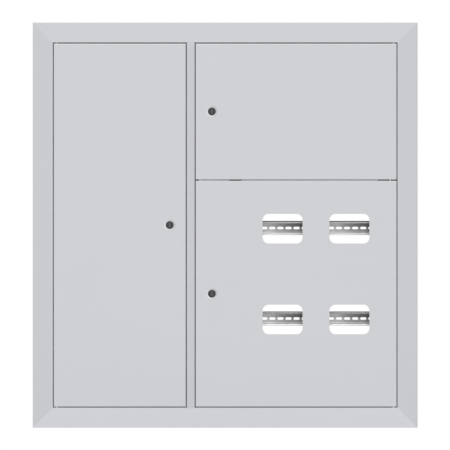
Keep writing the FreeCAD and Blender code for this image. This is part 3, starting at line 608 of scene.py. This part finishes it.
def lock_tone(door):
    """The dark coat of a lock, lighter on the floor of the keyway."""
    def tone(sheet, place):
        x, z = middle_of(door + "_lock_plug")
        slotted = patch(sheet, place, LOCK_TONE, KEYWAY_TONE, (x, z), KEYWAY, FACE_Y)
        return patch(sheet, place, slotted, KEYWAY_TONE, (x, z + KEYWAY_CROSS_RISE), KEYWAY_CROSS, FACE_Y)
    return tone


def rail_tone(rail):
    """Zinc plate with painted reflection and shade in bands, as a folded rail shows behind its window."""
    def tone(sheet, place):
        low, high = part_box(rail)
        left = low[0] + WINDOW_START
        limits = {"Left": left, "Right": left + WINDOW_WIDTH, "Low": low[2], "High": high[2]}
        return sheet.group(RAIL_SHEEN, Vector=place, **limits)["Color"]
    return tone


FASTENER_ZINC = metal("zinc_fastener", ZINC_TONE, FASTENER_LOOK)


def give(material, *names):
    """Puts a material on nodes, in place of what they have."""
    for name in names:
        node = frame["nodes"][name]
        node.data.materials.clear()
        node.data.materials.append(material)


def dress_frame():
    """The materials of the nodes that keep their own shape."""
    for door in DOORS:
        give(paint(door + "_door_paint", door_tone(door)), door + "_door_panel")
    for rail in METER_RAILS:
        give(metal(rail + "_zinc", rail_tone(rail), RAIL_LOOK), rail)
    give(paint("top_rim_paint", top_rim_tone), "rim_top")
    # The lower rim bar: the same coat, made lighter by painted light
    give(paint("bottom_rim_paint", LOW_RIM_LIT_TONE), "rim_bottom")
    give(paint("side_rim_paint", side_rim_tone), "rim_left", "rim_right")
    give(paint("nose_paint", nose_tone), "middle_rail")
    give(paint("stile_paint", stile_tone), "centre_stile")
    # The lug sits deep in the seam: its near black tone is painted shade
    give(metal("lug_steel_painted_shade", lug_tone, LUG_LOOK, LUG_METALLIC), "middle_lug")
    give(
        paint("box_paint", BOX_TONE, BOX_DRIFT),
        "left_box_wall", "right_box_wall", "top_box_wall", "bottom_box_wall", "middle_partition",
        "meter_shelf", "left_door_stiffener", "upper_door_stiffener", "lower_door_stiffener",
    )
    give(
        metal("zinc_sheet", ZINC_TONE, SHEET_LOOK),
        "left_meter_upright", "middle_meter_upright", "right_meter_upright", "left_breaker_upright",
        "right_breaker_upright", "breaker_rail", "lower_mounting_strip", "upper_mounting_strip",
    )
    give(FASTENER_ZINC, "hinge_pins", "hinge_washers", "left_lock_cam", "upper_lock_cam", "lower_lock_cam")
    give(metal("brass", BRASS_TONE, BRASS_LOOK), "neutral_bar", "earth_bar")
    give(porous("insulator", INSULATOR_TONE, INSULATOR_LOOK), "neutral_insulators")


# Meshes

def grid_faces(rows, columns):
    """Quads between the points of a grid, numbered row by row. Its last column joins its first one."""
    row, column = np.meshgrid(np.arange(rows - 1), np.arange(columns), indexing="ij")
    first = row * columns + column
    second = row * columns + (column + 1) % columns
    return np.stack([first, first + columns, second + columns, second], axis=-1).reshape(-1, 4)


def joined(parts):
    """One list of points and one of faces from several pairs of them."""
    counts = np.cumsum([0] + [len(points) for points, _ in parts])
    points = np.concatenate([points for points, _ in parts])
    faces = np.concatenate([faces + count for (_, faces), count in zip(parts, counts)])
    return points, faces


def new_piece(name, parts, material, body, node):
    """A closed mesh from parts, smooth but for its sharp edges, that rides on a body in a node's place
    and takes its finish from a slot."""
    points, faces = joined(parts)
    mesh = bpy.data.meshes.new(name)
    mesh.from_pydata(points.tolist(), [], faces.tolist())
    shape = bmesh.new()
    shape.from_mesh(mesh)
    bmesh.ops.remove_doubles(shape, verts=shape.verts, dist=MERGE)
    bmesh.ops.dissolve_degenerate(shape, dist=MERGE, edges=shape.edges)
    bmesh.ops.recalc_face_normals(shape, faces=shape.faces)
    shape.to_mesh(mesh)
    shape.free()
    mesh.shade_smooth()
    mesh.set_sharp_from_angle(angle=SHARP)
    mesh.materials.append(material)
    piece = bpy.data.objects.new(name, mesh)
    bpy.context.collection.objects.link(piece)
    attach(piece, body)
    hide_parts(node)
    return piece


def solid_boxes(node):
    """The lowest and the highest corner of each solid of a node. Triangles that share a corner belong
    together: each corner takes the lowest number among its neighbours until nothing changes."""
    mesh = frame["nodes"][node].data
    mesh.calc_loop_triangles()
    corners = np.empty(len(mesh.loop_triangles) * 3, dtype=np.int64)
    mesh.loop_triangles.foreach_get("vertices", corners)
    places = np.empty(len(mesh.vertices) * 3)
    mesh.vertices.foreach_get("co", places)
    places = places.reshape(-1, 3).round(SAME_DIGITS)
    points, same = np.unique(places, axis=0, return_inverse=True)
    triangles = same.reshape(-1)[corners.reshape(-1, 3)]
    label = np.arange(len(points))
    while True:
        lowest = label[triangles].min(axis=1)
        update = label.copy()
        for corner in range(3):
            np.minimum.at(update, triangles[:, corner], lowest)
        if (update == label).all():
            break
        label = update
    groups = [points[label == number] for number in np.unique(label)]
    return [(group.min(axis=0), group.max(axis=0)) for group in groups]


def turned(low, high, axis, profile, turns, ripple=None):
    """A profile of pairs of radius and depth, turned about the middle of a box along X (axis 0) or Y
    (axis 1): a point lies at radius r in the direction of the angle t, and at depth d along the axis. A
    ripple is a function of radius, depth and t that gives the two again, changed."""
    angle = np.linspace(0.0, 2 * math.pi, turns, endpoint=False)
    radius, turn = np.meshgrid(profile[:, 0], angle, indexing="ij")
    depth = np.repeat(profile[:, 1:], turns, axis=1)
    if ripple:
        radius, depth = ripple(radius, depth, turn)
    side = 1 - axis
    points = np.empty((*radius.shape, 3))
    points[..., axis] = depth
    points[..., side] = (low[side] + high[side]) / 2 + radius * np.cos(turn)
    points[..., 2] = (low[2] + high[2]) / 2 + radius * np.sin(turn)
    return points.reshape(-1, 3), grid_faces(len(profile), turns)


def cross_recess(front, reach, head):
    """A ripple that sinks a cross into a screw's head: points of the head's top whose distance from
    either arm's middle line is small go down by the recess, with soft flanks, within its reach."""
    def ripple(radius, depth, turn):
        across = np.abs(radius * np.cos(turn))
        up = np.abs(radius * np.sin(turn))
        arm = np.minimum(across, up) / (CROSS_WIDTH * reach)
        end = np.maximum(across, up) / reach
        flank = np.clip((CROSS_EDGE - arm) * CROSS_FLANK, 0, 1)
        inside = flank * np.clip((1.0 - end) * CROSS_END_FLANK, 0, 1)
        on_top = (front + head - depth) / head > CROSS_TOP
        return radius, depth + inside * on_top * CROSS_DEPTH * head
    return ripple


def domed_screw(low, high, shank, head):
    """A screw along Y in the box of its solid: a head with a cross recess, whose top falls off with the
    square of the radius, over a plain shank."""
    outer = (high[0] - low[0]) / 2
    front = low[1]
    under = front + head
    top = np.linspace(0, 1, TOP_ROWS)
    dome = np.stack([top * outer * DOME_REACH, front + DOME * head * top ** 2], axis=1)
    rear = high[1]
    side = [(outer, front + DOME_END * head), (outer, under), (shank, under), (shank, rear), (0, rear)]
    ripple = cross_recess(front, DOMED_REACH * outer, head)
    return turned(low, high, 1, np.concatenate([dome, side]), SCREW_TURNS, ripple)


def countersunk_screw(low, high, shank):
    """A screw along Y in the box of its solid: a flat head with a cross recess, over a cone that is as deep
    as its radius drops, and a plain shank."""
    outer = (high[0] - low[0]) / 2
    front = low[1]
    cone = outer - shank
    top = np.linspace(0, 1, TOP_ROWS)
    flat = np.stack([top * outer, np.full(TOP_ROWS, front)], axis=1)
    side = [(shank, front + cone), (shank, high[1]), (0, high[1])]
    ripple = cross_recess(front, FLAT_REACH * outer, cone)
    return turned(low, high, 1, np.concatenate([flat, side]), SCREW_TURNS, ripple)


def rear_screw(low, high, shank, head):
    """A screw along Y whose domed head is at the rear: the same screw, mirrored in depth."""
    points, faces = domed_screw(low, high, shank, head)
    points[:, 1] = low[1] + high[1] - points[:, 1]
    return points, faces[:, ::-1]


def thread_rows(radius, start, end, pitch):
    """A profile of one radius with several rows to each pitch."""
    depth = np.linspace(start, end, int(ROWS_PER_PITCH * (end - start) / pitch) + 1)
    return np.stack([np.full(len(depth), radius), depth], axis=1)


def thread_ripple(outer, start, end, pitch):
    """A ripple that cuts a thread into a shank of an outer radius: the radius drops by a triangle wave of
    the depth over the pitch less the share of a turn, and the cut fades out at both ends."""
    def ripple(radius, depth, turn):
        phase = np.mod((depth - start) / pitch - turn / (2 * math.pi), 1.0)
        wave = 1.0 - np.abs(2 * phase - 1)
        fade = np.clip((depth - start) / pitch, 0, 1) * np.clip((end - depth) / pitch, 0, 1)
        on_shank = np.abs(radius - outer) < MERGE
        return radius - on_shank * wave * fade * THREAD_DEPTH * pitch, depth
    return ripple


def hexagon_nut(low, high, bore, axis):
    """A hexagon nut in the box of its solid: its outer radius is half the width over its flats, divided by
    the cosine of the angle from the middle of a flat, and both ends slope down towards the corners by a
    share of what they stand out, as turned chamfers do."""
    flats = (high[2] - low[2]) / 2
    start = low[axis]
    end = high[axis]

    def ripple(radius, depth, turn):
        sector = np.mod(turn, math.pi / 3) - math.pi / 6
        corner = flats / np.cos(sector)
        outside = radius > flats * (1 + NUT_EDGE) / 2
        slope = np.where(outside, (corner - flats) * NUT_CHAMFER, 0)
        inward = np.where(depth < (start + end) / 2, slope, -slope)
        return np.where(outside, corner, radius), depth + inward
    edge = flats * NUT_EDGE
    fore = [(bore, start), (edge, start), (flats, start)]
    rear = [(flats, end), (edge, end), (bore, end), (bore, start)]
    return turned(low, high, axis, np.array(fore + rear), NUT_TURNS, ripple)


def earth_stud(low, high):
    """A stud along X in the box of its solid: a shank of one radius with a thread, closed at both ends."""
    radius = (high[2] - low[2]) / 2
    start = low[0]
    end = high[0]
    profile = np.concatenate([[(0, start)], thread_rows(radius, start, end, STUD_PITCH), [(0, end)]])
    return turned(low, high, 0, profile, STUD_TURNS, thread_ripple(radius, start, end, STUD_PITCH))


def lock_barrel(low, high):
    """A lock's body along Y: a face with a chamfered rim, a threaded barrel, and a bore that opens in
    front to the recess for the plug's head."""
    outer = (high[0] - low[0]) / 2
    front = low[1]
    rear = high[1]
    start = FACE_Y + BARREL_THREAD_START
    floor = front + RECESS_FLOOR
    face = [
        (RECESS_RADIUS, front), (outer - FACE_CHAMFER, front), (outer, front + FACE_CHAMFER),
        (outer, FACE_Y), (BARREL_RADIUS, FACE_Y),
    ]
    thread = thread_rows(BARREL_RADIUS, start, rear, BARREL_PITCH)
    bore = [(BARREL_BORE, rear), (BARREL_BORE, floor), (RECESS_RADIUS, floor), (RECESS_RADIUS, front)]
    ripple = thread_ripple(BARREL_RADIUS, start, rear, BARREL_PITCH)
    return turned(low, high, 1, np.concatenate([face, thread, bore]), BARREL_TURNS, ripple)


def foam_strip(start, end, back, thickness):
    """A foam strip between two places in X and Z, with its flat back at a depth. At u from 0 to 1 over its
    section a point lies (width / 2) cos(pi u) from the middle line and thickness * sin(pi u) ** crown in
    front of the back, times a slow wave along the strip. The cut ends close with a small fold."""
    start = np.array(start)
    length = np.linalg.norm(np.array(end) - start)
    along = (np.array(end) - start) / length
    sideways = np.array([-along[1], along[0]])
    rows = np.linspace(0, length, int(length / SEAL_ROW) + 1)[1:-1]
    place = np.concatenate([[0, SEAL_BUTT], rows, [length - SEAL_BUTT, length]])[:, None]
    size = np.ones_like(place)
    size[[0, -1]] = 0
    first, second = SEAL_WAVE_NUMBERS
    wave = 1 - SEAL_WAVE * (0.5 + 0.5 * np.sin(place * first) * np.cos(place * second))
    u = np.linspace(0, 1, SEAL_SECTION)
    across = size * SEAL_WIDTH / 2 * np.cos(math.pi * u)
    height = thickness * np.sin(math.pi * u) ** SEAL_CROWN * wave
    points = np.empty((*height.shape, 3))
    points[..., 0] = start[0] + place * along[0] + across * sideways[0]
    points[..., 1] = back - thickness / 2 - size * (height - thickness / 2)
    points[..., 2] = start[1] + place * along[1] + across * sideways[1]
    return points.reshape(-1, 3), grid_faces(len(place), SEAL_SECTION)


# Pieces in place of their plain solids

def dress_screws():
    """The screws with their recesses, each row of them in place of its node."""
    rows = (
        ("frame", countersunk_screw, (SHANK,)),
        ("rail", domed_screw, (SHANK, RAIL_HEAD)),
        ("terminal", domed_screw, (TERMINAL_SHANK, TERMINAL_HEAD)),
    )
    for name, screw, sizes in rows:
        node = name + "_screws"
        screws = [screw(low, high, *sizes) for low, high in solid_boxes(node)]
        new_piece(name + "_screw_set", screws, FASTENER_ZINC, "cabinet", node)
    for door in DOORS:
        node = door + "_cam_screw"
        screw = rear_screw(*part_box(node), SHANK, CAM_HEAD)
        new_piece(door + "_cam_bolt", [screw], FASTENER_ZINC, door + "_lock", node)


def dress_studs_and_nuts():
    """Threads on the studs, and turned chamfers on the hexagon nuts."""
    stud_boxes = solid_boxes("earth_studs")
    studs = [earth_stud(low, high) for low, high in stud_boxes]
    new_piece("earth_stud_set", studs, FASTENER_ZINC, "cabinet", "earth_studs")
    low, high = stud_boxes[0]
    stud_radius = (high[2] - low[2]) / 2
    nuts = [hexagon_nut(low, high, stud_radius, 0) for low, high in solid_boxes("earth_stud_nuts")]
    new_piece("earth_nut_set", nuts, FASTENER_ZINC, "cabinet", "earth_stud_nuts")
    for door in DOORS:
        node = door + "_lock_nut"
        nut = hexagon_nut(*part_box(node), BARREL_RADIUS, 1)
        new_piece(door + "_barrel_nut", [nut], FASTENER_ZINC, door + "_door", node)


def dress_locks():
    """Each lock's body with its thread, and the coat that it shares with its plug."""
    for door in DOORS:
        coat = paint(door + "_lock_coat", lock_tone(door), LOCK_DRIFT, LOCK_PEEL)
        give(coat, door + "_lock_plug")
        node = door + "_lock_body"
        barrel = lock_barrel(*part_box(node))
        new_piece(door + "_lock_barrel", [barrel], coat, door + "_door", node)


def dress_seals():
    """Three foam strips for each door: one by the lock, and one at each end that butts against it."""
    foam = porous("seal_foam", FOAM_TONE, FOAM_LOOK)
    half = SEAL_WIDTH / 2
    for door in DOORS:
        node = door + "_door_seal"
        low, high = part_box(node)
        latch, hinge = (high[0], low[0]) if door == "left" else (low[0], high[0])
        inward = math.copysign(1.0, hinge - latch)
        latch_x = latch + inward * half
        butt_x = latch + inward * (SEAL_WIDTH + SEAL_BUTT)
        runs = [((latch_x, low[2]), (latch_x, high[2]))]
        for z in (low[2] + half, high[2] - half):
            runs.append(((butt_x, z), (hinge, z)))
        strips = [foam_strip(start, end, high[1], high[1] - low[1]) for start, end in runs]
        seal = new_piece(door + "_foam_seal", strips, foam, "cabinet", node)


# Studio

def stage():
    """A pale floor below the board, out of the front view."""
    middle_y = (cad_low[1] + cad_high[1]) / 2
    bpy.ops.mesh.primitive_circle_add(vertices=FLOOR_SIDES, radius=FLOOR_RADIUS, fill_type="NGON")
    floor = bpy.context.active_object
    floor.name = "floor"
    floor.location = (0, middle_y, cad_low[2] - FLOOR_DROP)
    material, sheet, shader, place = new_material("floor_paint")
    factor = sheet.maths("MULTIPLY_ADD", sheet.noise(place, FLOOR_SCALE), FLOOR_DRIFT, 1 - FLOOR_DRIFT / 2)
    sheet.feed(shader, {"Base Color": sheet.scaled(FLOOR_TONE, factor), "Roughness": FLOOR_ROUGHNESS})
    floor.data.materials.append(material)


def world():
    """White to the camera, to glossy and to clear rays; a softer even light to everything else."""
    surround = bpy.data.worlds.new("studio")
    bpy.context.scene.world = surround
    surround.use_nodes = True
    surround.node_tree.nodes.clear()
    sheet = Sheet(surround.node_tree)
    path = sheet.add("ShaderNodeLightPath").outputs
    seen = sheet.maths("MAXIMUM", path["Is Camera Ray"], path["Is Transmission Ray"])
    seen = sheet.maths("MAXIMUM", seen, path["Is Glossy Ray"])
    strength = sheet.maths("MULTIPLY_ADD", seen, 1.0 - WORLD_STRENGTH, WORLD_STRENGTH)
    background = sheet.add("ShaderNodeBackground", {"Color": (1, 1, 1), "Strength": strength})
    sheet.add("ShaderNodeOutputWorld", {"Surface": background.outputs[0]})


def softbox(name, place, size, power):
    """A square area light at a place, turned to the middle of the board."""
    light = bpy.data.lights.new(name, "AREA")
    light.shape = "SQUARE"
    light.size = size
    light.energy = power
    lamp = bpy.data.objects.new(name, light)
    bpy.context.collection.objects.link(lamp)
    lamp.location = place
    aim = np.array(LIGHT_TARGET) - np.array(place)
    distance = np.linalg.norm(aim)
    lamp.rotation_euler = (math.acos(-aim[2] / distance), 0, math.atan2(-aim[0], aim[1]))


def camera():
    """A long lens straight in front of the doors."""
    lens = bpy.data.cameras.new("front_camera")
    lens.lens = SENSOR * DISTANCE / VIEW_WIDTH
    lens.sensor_width = SENSOR
    lens.clip_end = CLIP_END
    eye = bpy.data.objects.new("front_camera", lens)
    bpy.context.collection.objects.link(eye)
    eye.location = (VIEW_CENTRE_X, FACE_Y - DISTANCE, VIEW_CENTRE_Z)
    eye.rotation_euler = (math.pi / 2, 0, 0)
    bpy.context.scene.camera = eye


dress_frame()
dress_screws()
dress_studs_and_nuts()
dress_locks()
dress_seals()
stage()
world()
softbox("front_softbox", FRONT_PLACE, FRONT_SIZE, FRONT_LIGHT)
softbox("top_softbox", TOP_PLACE, TOP_SIZE, TOP_LIGHT)
camera()
bpy.context.scene.view_settings.view_transform = "Standard"
